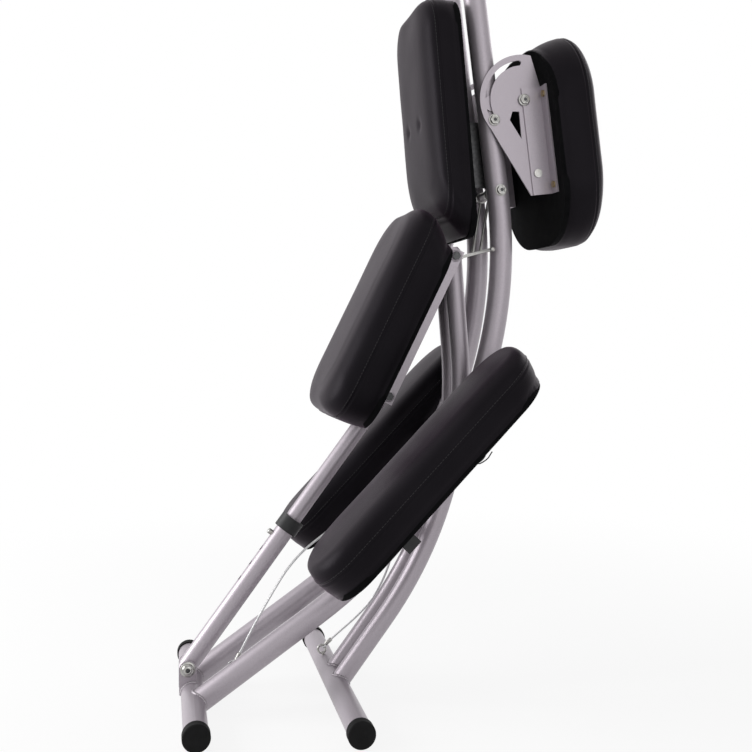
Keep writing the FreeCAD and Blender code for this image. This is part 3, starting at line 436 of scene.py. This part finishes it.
def stitch_mesh(name, loop):
    """Short stitches along a closed line on a pad's side."""
    points, faces = [], []
    line = resampled(loop + loop[:1], STITCH_PITCH)
    for before, after in zip(line, line[1:]):
        middle = (before + after) / 2
        way = (after - before).normalized() * (STITCH_LENGTH / 2)
        path = [middle + way * share for share, width in STITCH_FORM]
        rings, ring_faces = tube_rings(path, lambda i, angle: STITCH_RADIUS * STITCH_FORM[i][1], STITCH_SIDES)
        faces += [tuple(i + len(points) for i in face) for face in ring_faces]
        points += rings
    return mesh_from(name, points, faces)


def cushion(name, node, body, seam_share, tufts=(), notch=None):
    """A stuffed pad with its sewn edge, in place of a pad's solid; returns the pad and its stitches."""
    from_pad = pad_frame(node)
    to_pad = from_pad.inverted()
    mesh, height = start_shape(node, to_pad)
    obj = add_object(name, mesh)
    bpy.context.view_layer.objects.active = obj
    obj.data.remesh_voxel_size = VOXEL
    obj.data.use_remesh_fix_poles = True
    bpy.ops.object.voxel_remesh()
    points = coordinates(obj.data)
    for x, y in tufts:
        away = np.hypot(points[:, 0] - x, points[:, 1] - y)
        top = points[:, 2] > height / 2
        rim = top & (away > TUFT_FLAT) & (away < TUFT_RIM)
        points[top & (away < TUFT_FLAT), 2] = points[rim, 2].mean()
    obj.data.vertices.foreach_set("co", points.ravel())
    inflate(obj)
    smooth = obj.modifiers.new("smooth", "SUBSURF")
    smooth.levels = 1
    bpy.context.view_layer.update()
    fine = bpy.data.meshes.new_from_object(obj.evaluated_get(bpy.context.evaluated_depsgraph_get()))
    obj.modifiers.remove(smooth)
    obj.vertex_groups.clear()

    bm = bmesh.new()
    bm.from_mesh(fine)
    seam = height * seam_share
    stitch_level = seam + STITCH_OFFSET
    for level in (-LIP_OFFSET, -GROOVE_HALF, -GROOVE_HALF / 2, 0, GROOVE_HALF / 2, GROOVE_HALF, LIP_OFFSET,
                  STITCH_OFFSET):
        bmesh.ops.bisect_plane(bm, geom=bm.verts[:] + bm.edges[:] + bm.faces[:], dist=CUT_TOLERANCE,
                               plane_co=(0, 0, seam + level), plane_no=(0, 0, 1))
    bm.normal_update()
    loop = []
    for v in bm.verts:
        off = abs(v.co.z - seam)
        push = -GROOVE_DEPTH * max(0, 1 - (off / GROOVE_HALF) ** 2)
        push += LIP_HEIGHT * math.exp(-((off - LIP_OFFSET) / LIP_WIDTH) ** 2)
        if v.co.z > 0:
            push += UNEVEN_HEIGHT * noise.noise(from_pad @ v.co * UNEVEN_SIZE)
        for x, y in tufts:
            if v.co.z > height / 2:
                away = math.hypot(v.co.x - x, v.co.y - y)
                push -= TUFT_DEPTH * math.exp(-(away / TUFT_WIDTH) ** 2)
        on_stitches = abs(v.co.z - stitch_level) < ON_STITCHES
        v.co += v.normal * push
        if on_stitches:
            loop.append(v.co + v.normal * STITCH_RADIUS * STITCH_LIFT)
        if notch and v.co.z < 0 and abs(v.co.y) < notch[0] and v.co.x < notch[1]:
            v.co.z = 0
    bm.transform(from_pad)
    bm.to_mesh(fine)
    bm.free()
    fine.polygons.foreach_set("use_smooth", [True] * len(fine.polygons))
    obj.data = fine
    dress(obj, leather, body)
    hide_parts(node)
    loop.sort(key=lambda p: math.atan2(p.y, p.x))
    label = name + "_stitches"
    stitches = add_object(label, stitch_mesh(label, [from_pad @ p for p in loop]))
    dress(stitches, thread, body)
    return obj, stitches


def mirrored(obj, name, body):
    """A piece's mirror image on the other side of the chair."""
    mesh = obj.data.copy()
    mesh.transform(Matrix.Scale(-1, 4, ACROSS))
    mesh.flip_normals()
    twin = add_object(name, mesh)
    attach(twin, body)
    return twin


cushion("seat_cushion", "seat_pad", "seat", 0.52, notch=SEAT_NOTCH)
cushion("chest_cushion", "chest_pad", "main_frame", 0.60, tufts=((0, -0.037), (0, 0.037)))
cushion("armrest_cushion", "armrest_pad", "armrest", 0.62)
knee, knee_stitches = cushion("knee_cushion_right", "knee_pad_right", "main_frame", 0.52)
left_knee = mirrored(knee, "knee_cushion_left", "main_frame")
mirrored(knee_stitches, "knee_cushion_left_stitches", "main_frame")
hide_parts("knee_pad_left")


# Bolt heads and washers

BODIES = frame["record"]["behaviour"]["bodies"]
BODY_OF = {node: body for body, names in BODIES.items() for node in names}


def islands(node):
    """The lowest and highest corners of each separate solid in a node."""
    bm = bmesh.new()
    bm.from_mesh(nodes[node].data)
    bmesh.ops.remove_doubles(bm, verts=bm.verts, dist=MERGE_DISTANCE)
    left = set(bm.verts)
    boxes = []
    while left:
        reached = [left.pop()]
        corners = []
        while reached:
            vertex = reached.pop()
            corners.append(tuple(vertex.co))
            near = {edge.other_vert(vertex) for edge in vertex.link_edges} & left
            left -= near
            reached += near
        corners = np.array(corners)
        boxes.append((Vector(corners.min(0)), Vector(corners.max(0))))
    bm.free()
    return sorted(boxes, key=lambda box: tuple(box[0]))


LATHE_SIDES = 40


def lathe(name, origin, axis, profile):
    """A closed turned piece; profile points are (radius, height), from the axis back to the axis."""
    axis = axis.normalized()
    wide = axis.orthogonal().normalized()
    deep = axis.cross(wide)
    points = [origin + axis * profile[0][1]]
    for radius, height in profile[1:-1]:
        for k in range(LATHE_SIDES):
            angle = 2 * math.pi * k / LATHE_SIDES
            outwards = wide * math.cos(angle) + deep * math.sin(angle)
            points.append(origin + axis * height + outwards * radius)
    points.append(origin + axis * profile[-1][1])
    last = len(points) - 1
    rings = len(profile) - 2
    faces = []
    for k in range(LATHE_SIDES):
        m = (k + 1) % LATHE_SIDES
        faces.append((0, 1 + m, 1 + k))
        for ring in range(rings - 1):
            low, high = 1 + ring * LATHE_SIDES, 1 + (ring + 1) * LATHE_SIDES
            faces.append((low + k, low + m, high + m, high + k))
        top = 1 + (rings - 1) * LATHE_SIDES
        faces.append((top + k, top + m, last))
    return mesh_from(name, points, faces)


# Profiles as shares of the radius and the height; the last but one point is the socket's floor
HEAD_ROUND = ((0.0, 0.0), (1.0, 0.0), (1.0, 0.30), (0.97, 0.48), (0.88, 0.68), (0.72, 0.85), (0.52, 0.96),
              (0.44, 1.0), (0.40, 0.99), (0.38, 0.86), (0.0, 0.86))
HEAD_WIDE_SOCKET = ((0.0, 0.0), (1.0, 0.0), (1.0, 0.30), (0.97, 0.46), (0.90, 0.58), (0.80, 0.66),
                    (0.70, 0.68), (0.66, 0.66), (0.64, 0.36), (0.0, 0.36))
WASHER_ROUND = ((0.0, 0.0), (0.97, 0.0), (1.0, 0.15), (1.0, 0.75), (0.96, 1.0), (0.0, 1.0))
WASHER_THICKNESS = 0.0013
WASHER_SHARE = 1.28
SOCKET_THICKNESS = 0.0003
SOCKET_FIT = 0.97
HEAD_FIT = 0.98
HEAD_SHARE = 0.65
HEAD_EXTRA = 0.0010


def turned(label, origin, out, profile, across, along, material, body):
    """A turned piece from a profile of shares."""
    sized = [(r * across, h * along) for r, h in profile]
    dress(add_object(label, lathe(label, origin, out, sized)), material, body)


def bolt_heads(node, shank, form, material, one_bolt=False):
    """Round heads with washers and dark sockets over the heads of a node's bolts.

    Bolts in pairs have their heads on the outer sides, and one_bolt has it on the near side.
    """
    body = BODY_OF[node]
    radius = shank * HEAD_FIT
    height = shank * HEAD_SHARE
    socket_share, socket_height = form[-2]
    for number, (low, high) in enumerate(islands(node)):
        middle = (low + high) / 2
        sign = -1 if one_bolt or middle.y < 0 else 1
        out = ACROSS * sign
        seat = Vector((middle.x, (high.y if sign > 0 else low.y) - sign * height, middle.z))
        label = "%s_%d" % (node, number)
        full = height + HEAD_EXTRA
        turned(label + "_head", seat, out, form, radius, full, material, body)
        turned(label + "_washer", seat, out, WASHER_ROUND, radius * WASHER_SHARE, WASHER_THICKNESS, material,
               body)
        turned(label + "_socket", seat + out * (full * socket_height), out, WASHER_ROUND,
               radius * socket_share * SOCKET_FIT, SOCKET_THICKNESS, dark_steel, body)


bolt_heads("frame_bolts", 0.008, HEAD_ROUND, zinc)
bolt_heads("armrest_pivot_bolts", 0.008, HEAD_ROUND, zinc)
bolt_heads("strut_top_bolts", 0.008, HEAD_WIDE_SOCKET, powder)
bolt_heads("seat_pivot_bolt", 0.008, HEAD_WIDE_SOCKET, powder, one_bolt=True)
bolt_heads("foot_bolt", 0.010, HEAD_ROUND, zinc, one_bolt=True)


# Weld beads where the tubes and ears stand on the foot bars

BEAD_RADIUS = 0.0026
BEAD_PITCH = 0.0012
RIPPLE_LENGTH = 0.0034
RIPPLE_DEPTH = 0.16
BEAD_SIDES = 10
ON_BAR = 0.0003
TURN_STEP = 3


def weld_bead(name, loop, body):
    """A rippled bead along a closed line."""
    line = resampled(loop + loop[:1], BEAD_PITCH)[:-1]
    turns = round(len(line) * BEAD_PITCH / RIPPLE_LENGTH)

    def ripple(index, angle):
        wave = abs(math.sin(math.pi * turns * index / len(line)))
        return BEAD_RADIUS * (1 - RIPPLE_DEPTH + RIPPLE_DEPTH * wave)

    bead = add_object(name, mesh_from(name, *tube_rings(line, ripple, BEAD_SIDES, closed=True)))
    dress(bead, weld, body)


def foot_line(node, bar, sign=0):
    """The outer edge of a piece where it stands on a foot bar, as an ordered loop; sign picks a side."""
    low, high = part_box(bar)
    middle = (low + high) / 2
    radius = (high.z - low.z) / 2
    points = []
    for v in nodes[node].data.vertices:
        from_bar = math.hypot(v.co.x - middle.x, v.co.z - middle.z)
        if abs(from_bar - radius) < ON_BAR and v.co.y * sign >= 0:
            points.append(v.co.copy())
    centre = sum(points, Vector()) / len(points)
    away = (centre - Vector((middle.x, centre.y, middle.z))).normalized()
    wide = ACROSS.cross(away)
    by_turn = {}
    for point in points:
        offset = point - centre
        angle = math.degrees(math.atan2(offset.dot(ACROSS), offset.dot(wide)))
        turn = round(angle / TURN_STEP)
        if turn not in by_turn or offset.length > (by_turn[turn] - centre).length:
            by_turn[turn] = point
    return [by_turn[turn] for turn in sorted(by_turn)]


for side, sign in (("right", -1), ("left", 1)):
    weld_bead("main_weld_" + side, foot_line("main_tube_" + side, "rear_foot_bar"), "main_frame")
    weld_bead("leg_weld_" + side, foot_line("leg_tube_" + side, "front_foot_bar"), "leg_frame")
    weld_bead("ear_weld_" + side, foot_line("strut_clevis", "rear_foot_bar", sign), "main_frame")


# Ends of the limit cable: a pressed ferrule and a loop through each eye bolt

LOOP_WIRE = 0.0013
LOOP_ROUND = 0.0037
LOOP_STEPS = 24
LOOP_PITCH = 0.0007
LOOP_SIDES = 10
FERRULE = ((0.0, -0.002), (0.0026, -0.002), (0.0034, -0.0012), (0.0036, 0.0), (0.0036, 0.0105),
           (0.0033, 0.0122), (0.0026, 0.013), (0.0, 0.013))
EYE_RING = 0.007
EYE_WIRE = 0.004
MAIN_FOOT_HEADING = 34.4
FRONT_EYE_HEADING = 107.0
# How many of the cable's points its end runs straight for
STRAIGHT_STEPS = 6


def cable_end(name, tip, way, hold, side, body):
    """A ferrule on the cable's end and a teardrop loop round a point of an eye bolt's ring."""
    ferrule = add_object(name + "_ferrule", lathe(name + "_ferrule", tip, way, FERRULE))
    dress(ferrule, zinc, body)
    back = (hold - tip).normalized()
    across = (side - back * side.dot(back)).normalized()
    reach = (hold - tip).length
    opening = math.acos(min(1.0, LOOP_ROUND / reach))
    loop = [tip]
    for k in range(LOOP_STEPS + 1):
        angle = (math.pi - opening) * (1 - 2 * k / LOOP_STEPS)
        loop.append(hold + (back * math.cos(angle) + across * math.sin(angle)) * LOOP_ROUND)
    line = resampled(loop + loop[:1], LOOP_PITCH)[:-1]
    rings = tube_rings(line, lambda i, angle: LOOP_WIRE, LOOP_SIDES, closed=True)
    dress(add_object(name + "_loop", mesh_from(name + "_loop", *rings)), wire, body)


def ring_middle(node, outwards):
    """The middle of an eye bolt's ring, from the far end of its solid."""
    corners = [v.co for v in nodes[node].data.vertices]
    reach = max(point.dot(outwards) for point in corners)
    middle = sum(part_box(node), Vector()) / 2
    return middle + outwards * (reach - EYE_RING - EYE_WIRE / 2 - middle.dot(outwards))


rear_tip = cable_points[0]
rear_way = (cable_points[STRAIGHT_STEPS] - rear_tip).normalized()
rear_ring = ring_middle("rear_cable_eye", ACROSS)
rear_hold = rear_ring + heading(MAIN_FOOT_HEADING + 90) * EYE_RING
cable_end("rear_cable", rear_tip, rear_way, rear_hold, heading(MAIN_FOOT_HEADING), "main_frame")
front_tip = cable_points[-1]
front_way = (cable_points[-1 - STRAIGHT_STEPS] - front_tip).normalized()
front_ring = ring_middle("front_cable_eye", heading(FRONT_EYE_HEADING))
front_hold = front_ring + (front_tip - front_ring).normalized() * EYE_RING
cable_end("front_cable", front_tip, front_way, front_hold, ACROSS, "leg_frame")


# Hooked wire on the near knee knob

KNEE_HEADING = 46
KNEE_ALONG = heading(KNEE_HEADING)
KNEE_UP = heading(KNEE_HEADING + 90)
KNOB_END_DEPTH = 0.0005
HOOK_WIRE = 0.0010
HOOK_PITCH = 0.001
HOOK_SIDES = 10
HOOK = ((-0.0105, 0.0050), (-0.0100, 0.0), (-0.0075, -0.0030), (-0.0020, -0.0052), (0.0040, -0.0066),
        (0.0095, -0.0070), (0.0150, -0.0058), (0.0200, -0.0050))
knob = [v.co for v in nodes["knee_knob_right"].data.vertices]
knob_low = min(point.dot(KNEE_UP) for point in knob)
knob_end = [point for point in knob if point.dot(KNEE_UP) < knob_low + KNOB_END_DEPTH]
knob_foot = sum(knob_end, Vector()) / len(knob_end)
hook_line = [knob_foot + KNEE_ALONG * ahead + KNEE_UP * up for ahead, up in HOOK]
hook = tube_rings(resampled(hook_line, HOOK_PITCH), lambda i, angle: HOOK_WIRE, HOOK_SIDES)
dress(add_object("knob_hook", mesh_from("knob_hook", *hook)), dark_steel, "knob_right")


# Floor, background and light

def background_share(tree):
    """How far a ray sees the plain background: camera, glossy and transmission rays."""
    path = tree.nodes.new("ShaderNodeLightPath")
    total = path.outputs["Is Camera Ray"]
    for output in ("Is Glossy Ray", "Is Transmission Ray"):
        add = tree.nodes.new("ShaderNodeMath")
        add.operation = "MAXIMUM"
        tree.links.new(total, add.inputs[0])
        tree.links.new(path.outputs[output], add.inputs[1])
        total = add.outputs["Value"]
    return total


WORLD_LIGHT = 0.45
FLOOR_WHITE_NEAR = 0.86
FLOOR_WHITE_FAR = 1.0
FLOOR_FADE = (0.5, 1.9)
FLOOR_COLOUR = (0.9, 0.9, 0.9, 1)
FLOOR_RADIUS = 6.0
FLOOR_SIDES = 64
FLOOR_DROP = 0.0005
world = bpy.data.worlds.new("studio")
scene.world = world
world.use_nodes = True
tree = world.node_tree
strength = tree.nodes.new("ShaderNodeMapRange")
strength.inputs["To Min"].default_value = WORLD_LIGHT
strength.inputs["To Max"].default_value = 1.0
tree.links.new(background_share(tree), strength.inputs["Value"])
tree.nodes["Background"].inputs["Color"].default_value = (1, 1, 1, 1)
tree.links.new(strength.outputs["Result"], tree.nodes["Background"].inputs["Strength"])

floor_material = bpy.data.materials.new("pale_floor")
floor_material.use_nodes = True
tree = floor_material.node_tree
tree.nodes.remove(tree.nodes["Principled BSDF"])
matte = tree.nodes.new("ShaderNodeBsdfDiffuse")
matte.inputs["Color"].default_value = FLOOR_COLOUR
white = tree.nodes.new("ShaderNodeEmission")
white.inputs["Strength"].default_value = 1.0
away = tree.nodes.new("ShaderNodeVectorMath")
away.operation = "LENGTH"
tree.links.new(tree.nodes.new("ShaderNodeTexCoord").outputs["Object"], away.inputs[0])
fade = tree.nodes.new("ShaderNodeMapRange")
fade.interpolation_type = "SMOOTHSTEP"
fade.inputs["From Min"].default_value = FLOOR_FADE[0]
fade.inputs["From Max"].default_value = FLOOR_FADE[1]
fade.inputs["To Min"].default_value = FLOOR_WHITE_NEAR
fade.inputs["To Max"].default_value = FLOOR_WHITE_FAR
tree.links.new(away.outputs["Value"], fade.inputs["Value"])
share = tree.nodes.new("ShaderNodeMath")
share.operation = "MULTIPLY"
tree.links.new(background_share(tree), share.inputs[0])
tree.links.new(fade.outputs["Result"], share.inputs[1])
blend = tree.nodes.new("ShaderNodeMixShader")
tree.links.new(share.outputs["Value"], blend.inputs["Fac"])
tree.links.new(matte.outputs["BSDF"], blend.inputs[1])
tree.links.new(white.outputs["Emission"], blend.inputs[2])
tree.links.new(blend.outputs["Shader"], tree.nodes["Material Output"].inputs["Surface"])
rim = [(FLOOR_RADIUS * math.cos(a), FLOOR_RADIUS * math.sin(a), -FLOOR_DROP)
       for a in np.linspace(0, 2 * math.pi, FLOOR_SIDES, endpoint=False)]
floor = add_object("floor", mesh_from("floor", rim, [tuple(range(FLOOR_SIDES))], smooth=False))
floor.data.materials.append(floor_material)


def area_light(name, place, target, size, power):
    """A soft square lamp that faces a point."""
    data = bpy.data.lights.new(name, "AREA")
    data.size = size
    data.energy = power
    lamp = bpy.data.objects.new(name, data)
    lamp.location = place
    lamp.rotation_euler = (Vector(target) - Vector(place)).to_track_quat("-Z", "Y").to_euler()
    scene.collection.objects.link(lamp)


MIDDLE = (0, 0, 0.65)
area_light("key", (-2.6, 0.4, 1.05), MIDDLE, 1.6, 66)
area_light("fill", (0.6, -2.6, 1.4), MIDDLE, 2.0, 13)
area_light("rim", (2.0, 1.2, 1.6), MIDDLE, 1.4, 10)
